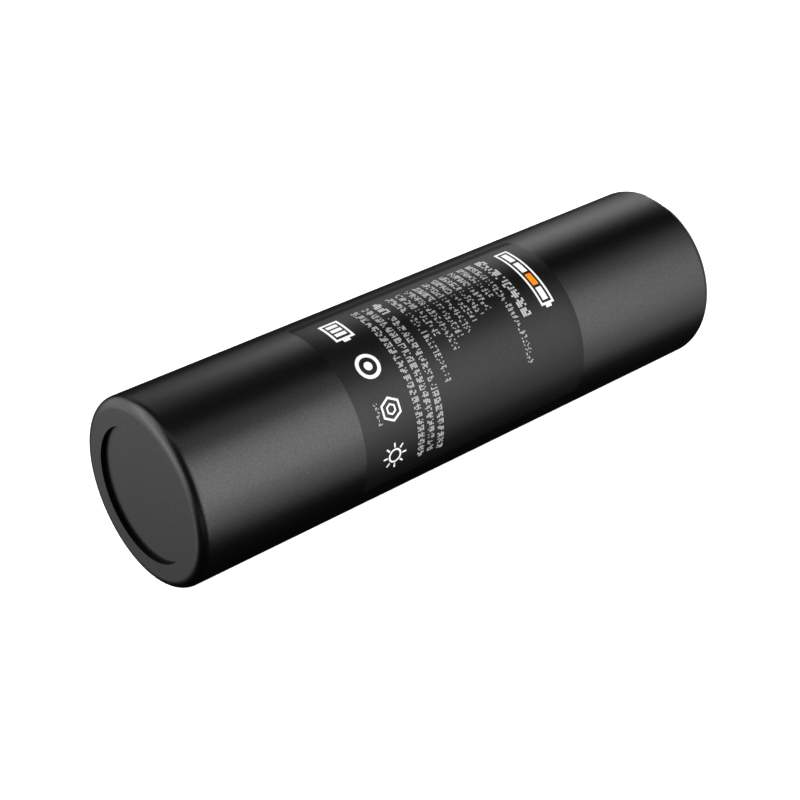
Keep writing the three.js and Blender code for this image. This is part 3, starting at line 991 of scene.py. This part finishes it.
def build_end_cap():
    """The plug in the mouth, with a pocket, a groove and a hole for each leg."""
    *_, bottom, top = extent("end_cap")
    cap = fine_turned("end_cap", cap_plastic, 0.08, segments=ROUND, slot="housing_plastic")
    holes = []
    for x in (-LEG_AT, LEG_AT):
        holes.append(pin("leg_hole", LEG_RADIUS + LEG_PLAY, x, 0, bottom - CLEAR, top + CLEAR))
    combine(cap, "DIFFERENCE", *holes)


def build_contacts():
    """The round positive contact, and the negative ring on its two legs."""
    fine_turned("contact_positive", gold_plate, 0.12, segments=ROUND)
    *_, bottom, top = extent("contact_negative")
    ring = fine_turned("contact_negative", gold_plate, 0.1, segments=ROUND)
    legs = [pin("leg", LEG_RADIUS, x, 0, bottom, top - 0.25) for x in (-LEG_AT, LEG_AT)]
    combine(ring, "UNION", *legs)


build_end_cap()
build_contacts()

# -------- protection electronics

PAD = 0.035  # thickness of a board's bare metal pads
STRIP = 0.15
STRIP_ANGLE = -90  # the negative strip comes up this side of the cell


def build_board():
    """The board with its two plated holes, and the pads that the contacts and strips meet."""
    *_, bottom, top = extent("protection_board")
    hole_radius, hole_x, hole_y = 0.45, 2.4, -7
    centre_pad, leg_pad = 1.9, 1.0  # their radii
    positive_pad, negative_pad = (2.9, 4.5, -2.3, 2.3), (-2.3, 2.3, -8.3, -5.2)
    board = fine_turned("protection_board", board_laminate, 0.03)
    holes = []
    for x in (-hole_x, hole_x):
        holes.append(pin("hole", hole_radius, x, hole_y, bottom - CLEAR, top + CLEAR))
    combine(board, "DIFFERENCE", *holes)
    pads = [pin("pad", centre_pad, 0, 0, top, top + PAD)]
    pads += [pin("pad", leg_pad, x, 0, top, top + PAD) for x in (-LEG_AT, LEG_AT)]
    for sides in (positive_pad, negative_pad):
        pads.append(rounded_block("pad", *sides, bottom - PAD, bottom, 0.01))
    finish_piece(merged("board_pads", pads), gold_plate)


def build_chip(node, leads_each_side, pitch):
    """A moulded package with a dimple at its first lead, and two rows of bent leads."""
    x0, x1, y0, y1, bottom, top = extent(node)
    lead_length, lead_width, lead_thickness = 0.45, 0.28, 0.12
    standoff = 0.1
    dimple_radius, dimple_depth = 0.18, 0.05
    side0, side1 = y0 + lead_length, y1 - lead_length
    body = rounded_block(node + "_body", x0, x1, side0, side1, bottom + standoff, top, 0.07)
    dimple = pin("dimple", dimple_radius, x1 - 0.45, side0 + 0.4, top - dimple_depth, top + CLEAR)
    combine(body, "DIFFERENCE", dimple)
    finish_piece(body, chip_plastic, node)

    foot = bottom + lead_thickness / 2
    shoulder = (bottom + top) / 2
    leads = []
    for turn in (1, -1):
        edge = side1 if turn > 0 else -side0
        path = [(edge - 0.2, shoulder), (edge + 0.15, shoulder)]
        path += [(edge + 0.2, foot), (edge + lead_length, foot)]
        for i in range(leads_each_side):
            x = (x0 + x1) / 2 + (i - (leads_each_side - 1) / 2) * pitch
            lead = folded_strip("lead", path, lead_width, lead_thickness, 90 * turn, -turn * x)
            leads.append(lead)
    finish_piece(merged(node + "_leads", leads), nickel)


def build_passive(node, material):
    """A chip resistor or capacitor: a fired body with a metal cap on each end."""
    x0, x1, y0, y1, bottom, top = extent(node)
    skin, cap = 0.02, 0.3
    sides = (y0 + skin, y1 - skin, bottom + skin, top - skin)
    body = rounded_block(node + "_body", x0 + skin, x1 - skin, *sides, 0.03)
    finish_piece(body, material, node)
    ends = []
    for start in (x0, x1 - cap):
        ends.append(rounded_block("end", start, start + cap, y0, y1, bottom, top, 0.05))
    finish_piece(merged(node + "_ends", ends), nickel)


def build_spacer():
    """The ring under the board, open where the negative strip comes up."""
    *_, bottom, top = extent("board_spacer")
    half_gap = 20  # degrees
    inner, outer = BORE_RADIUS - 1.2, BORE_RADIUS - 0.1
    start, end = STRIP_ANGLE + half_gap, STRIP_ANGLE + 360 - half_gap
    spacer = bent_sheet("board_spacer_ring", inner, outer, start, end, bottom, top, 0.3, 0.1)
    finish_piece(spacer, seal_nylon, "board_spacer")


def build_angle_strip(node, material, foot_low):
    """A strip with a flat foot on a terminal and a leg folded square to it."""
    x0, x1, y0, y1, bottom, top = extent(node)
    angle, back, reach = (0, x0, x1) if x1 > -x0 else (180, -x1, -x0)
    half = STRIP / 2
    foot, leg_end = (bottom + half, top) if foot_low else (top - half, bottom)
    path = [(back, foot), (reach - half, foot), (reach - half, leg_end)]
    strip = folded_strip(node + "_folded", path, y1 - y0, STRIP, angle)
    finish_piece(strip, material, node)


def build_negative_strip():
    """Welded under the can, up its side in a bow, and folded in under the board."""
    *_, bottom, top = extent("negative_strip")
    width, thickness = 4, 0.12
    foot_end, head_end = -2.6, 5.5
    bow = 9.38
    foot = bottom + thickness / 2
    head = top - thickness / 2
    path = [(foot_end, foot), (bow, foot), (bow, head), (head_end, head)]
    strip = folded_strip("negative_strip_folded", path, width, thickness, STRIP_ANGLE, bow=bow)
    finish_piece(strip, nickel, "negative_strip")


def build_strip_paper():
    *_, bottom, top = extent("strip_paper")
    half_width = 16  # degrees
    inner, outer = 9.24, 9.29
    start, end = STRIP_ANGLE - half_width, STRIP_ANGLE + half_width
    paper = bent_sheet("strip_paper_sheet", inner, outer, start, end, bottom, top, 1.0, 0.01)
    finish_piece(paper, fibre_paper, "strip_paper")


build_board()
build_chip("protection_ic", 3, 0.95)
build_chip("mosfet_pair", 4, 1.1)
build_passive("supply_resistor", chip_plastic)
build_passive("sense_resistor", chip_plastic)
build_passive("filter_capacitor", chip_ceramic)
build_spacer()
build_angle_strip("positive_strip", nickel, True)
build_negative_strip()
build_strip_paper()

# -------- the cell inside

WINDOW_ANGLE = 45  # clear of the windows in the top cap
HOLE_CIRCLE = 4.6
HOLE_RADIUS = 0.8

TURNED_PIECES = (
    # node, material, rounding of its edges
    ("foam_pad", foam, 0.15),
    ("button_washer", fibre_paper, 0.04),
    ("cell_sleeve", sleeve_film, 0.1),
    ("cell_can", can_steel, 0.25),
    ("crimp_gasket", seal_nylon, 0.08),
    ("ptc_ring", ptc_polymer, 0.05),
    ("vent_disc", aluminium, 0.2),
    ("vent_gasket", seal_nylon, 0.06),
    ("lower_insulator", fibre_paper, 0.04),
    ("upper_insulator", fibre_paper, 0.04),
)


def build_top_cap():
    """The positive terminal, with four windows in its raised button."""
    *_, bottom, _ = extent("top_cap")
    sill, height, half, reach = bottom + 0.55, 0.6, 0.6, 5.0
    cap = fine_turned("top_cap", can_steel, 0.12, WINDOW_ANGLE)
    across = rounded_block("across", -reach, reach, -half, half, sill, sill + height, 0.15)
    along = rounded_block("along", -half, half, -reach, reach, sill, sill + height, 0.15)
    combine(cap, "DIFFERENCE", across, along)


def build_terminal_plate():
    """The plate under the vent disc, with four holes for the gas."""
    *_, bottom, top = extent("terminal_plate")
    plate = fine_turned("terminal_plate", aluminium, 0.08, 0)
    holes = []
    for i in range(4):
        turn = math.radians(45 + 90 * i)
        x, y = HOLE_CIRCLE * math.cos(turn), HOLE_CIRCLE * math.sin(turn)
        holes.append(pin("hole", HOLE_RADIUS, x, y, bottom - CLEAR, top + CLEAR))
    combine(plate, "DIFFERENCE", *holes)


for node, material, rounding in TURNED_PIECES:
    fine_turned(node, material, rounding)
build_top_cap()
build_terminal_plate()
build_angle_strip("negative_tab", nickel, True)
build_angle_strip("positive_tab", aluminium, False)

# -------- the wound roll

CORE_RADIUS = 2.8
TURNS = 5.75
TURN_STEPS = 48
LAYER_GAP = 0.04
FOIL = 0.26
SEPARATOR = 0.08
LAYERS = (
    # node, thickness, material; from the core outwards
    ("cathode_winding", FOIL, cathode_coat),
    ("separator_inner", SEPARATOR, separator_film),
    ("anode_winding", FOIL, anode_coat),
    ("separator_outer", SEPARATOR, separator_film),
)
PITCH = 2 * (FOIL + SEPARATOR + 2 * LAYER_GAP)


def build_layer(node, start_radius, thickness, material):
    """One layer of the roll: a strip wound outwards from the core."""
    *_, bottom, top = extent(node)
    rings = []
    for i in range(round(TURNS * TURN_STEPS) + 1):
        inner = start_radius + PITCH * i / TURN_STEPS
        outer = inner + thickness
        section = ((bottom, inner), (bottom, outer), (top, outer), (top, inner))
        rings.append([point(height, radius, 360 * i / TURN_STEPS) for height, radius in section])
    finish_piece(loft(node + "_wound", rings), material, node)


def build_roll():
    radius = CORE_RADIUS
    for node, thickness, material in LAYERS:
        build_layer(node, radius, thickness, material)
        radius += thickness + LAYER_GAP


def build_roll_tape():
    """The tape that holds the roll's loose end."""
    *_, bottom, top = extent("roll_tape")
    inner = CORE_RADIUS + PITCH * (TURNS + 1) + 0.05
    outer = inner + 0.06
    middle = 360 * (TURNS % 1)
    start, end = middle - 25, middle + 25
    tape = bent_sheet("roll_tape_sheet", inner, outer, start, end, bottom, top, 0.3, 0.015)
    finish_piece(tape, tape_film, "roll_tape")


build_roll()
build_roll_tape()

# -------- camera, lights and table

CAMERA_AT = Vector((-0.11366, -0.12908, 0.10333))
CAMERA_AZIMUTH = -40.63
CAMERA_ELEVATION = 31.9
LENS_MM = 80.25
SENSOR_MM = 36.0


def add_camera():
    data = bpy.data.cameras.new("camera")
    data.lens = LENS_MM
    data.sensor_width = SENSOR_MM
    data.clip_start = 0.01
    data.clip_end = 10
    camera = bpy.data.objects.new("camera", data)
    camera.location = CAMERA_AT
    camera.rotation_euler = (math.radians(90 - CAMERA_ELEVATION), 0, math.radians(CAMERA_AZIMUTH))
    bpy.context.scene.collection.objects.link(camera)
    bpy.context.scene.camera = camera


LIGHTS = (
    # name, azimuth, elevation, width, height, roll, radiance
    ("front_low", 35, -1, 41, 92, 17, 1.1),
    ("front_wide", 17, 24, 71, 78, -18, 3.0),
    ("front_high", 52, 67, 23, 101, 22, 0.82),
    ("front_floor", 6, -11, 40, 61, 36, 1.9),
    ("front_strip", 47, 9, 8.3, 69, -13, 2.4),
    ("back_wide", 149, 20, 70, 34, 27, 0.4),
    ("back_spot", 119, 10, 16, 8, 26, 60),
    ("back_strip", 136, 30, 23, 32, 32, 1.55),
    ("end_fill", -138, 1, 100, 82, -41, 1.45),
    ("left_tall", -116, 26, 68, 107, 36, 2.7),
    ("contact_fill", 100, -10, 60, 60, 0, 1.6),
    ("end_line", -45, -15, 40, 26, 0, 0.5),
)
LIGHT_DISTANCE = 1.5  # metres from the battery to every softbox
FEATHER = 0.3  # share of a softbox's width over which each edge fades


def feather(light):
    """Fades a softbox's brightness to nothing at its edges."""
    light.use_nodes = True
    nodes = light.node_tree.nodes
    links = light.node_tree.links
    across = nodes.new("ShaderNodeNewGeometry").outputs["Parametric"]
    split = nodes.new("ShaderNodeSeparateXYZ")
    links.new(across, split.inputs["Vector"])
    product = nodes.new("ShaderNodeMath")
    product.operation = "MULTIPLY"
    for i, axis in enumerate("XY"):
        from_edge = nodes.new("ShaderNodeMath")
        from_edge.operation = "PINGPONG"
        from_edge.inputs[1].default_value = 0.5
        links.new(split.outputs[axis], from_edge.inputs[0])
        fade = nodes.new("ShaderNodeMapRange")
        fade.interpolation_type = "SMOOTHSTEP"
        fade.inputs["From Max"].default_value = FEATHER
        links.new(from_edge.outputs["Value"], fade.inputs["Value"])
        links.new(fade.outputs["Result"], product.inputs[i])
    links.new(product.outputs["Value"], nodes["Emission"].inputs["Strength"])


def softbox(name, azimuth, elevation, width, height, roll, radiance):
    """A feathered panel that faces the battery. Angles and apparent sizes are in degrees."""
    facing = (
        Matrix.Rotation(math.radians(azimuth), 4, "Z")
        @ Matrix.Rotation(math.radians(90 - elevation), 4, "X")
        @ Matrix.Rotation(math.radians(roll), 4, "Z")
    )
    data = bpy.data.lights.new(name, "AREA")
    data.shape = "RECTANGLE"
    data.size = 2 * LIGHT_DISTANCE * math.tan(math.radians(width / 2))
    data.size_y = 2 * LIGHT_DISTANCE * math.tan(math.radians(height / 2))
    data.energy = radiance * math.pi * data.size * data.size_y
    feather(data)
    light = bpy.data.objects.new(name, data)
    light.matrix_world = facing @ Matrix.Translation((0, 0, LIGHT_DISTANCE))
    light.visible_camera = False
    bpy.context.scene.collection.objects.link(light)


def add_table():
    """A pale shooting table lit from below: only the camera sees it, so it throws no glare."""
    size = 3.0
    corners = [(-size, -size, 0), (size, -size, 0), (size, size, 0), (-size, size, 0)]
    floor = add_mesh("table", corners, [(0, 1, 2, 3)])
    floor.location.z = -RADIUS * MM
    shader = Shader("table_white")
    shader.set(Base_Color=(0.8, 0.8, 0.8, 1), Roughness=0.9)
    shader.set(Emission_Color=(1, 1, 1, 1), Emission_Strength=0.95)
    floor.data.materials.append(shader.material)
    floor.visible_glossy = False
    floor.visible_diffuse = False
    floor.visible_shadow = False


def add_world():
    world = bpy.data.worlds.new("world")
    world.use_nodes = True
    world.node_tree.nodes["Background"].inputs["Color"].default_value = (0, 0, 0, 1)
    bpy.context.scene.world = world


add_camera()
for light in LIGHTS:
    softbox(*light)
add_table()
add_world()
bpy.context.scene.view_settings.view_transform = "Standard"
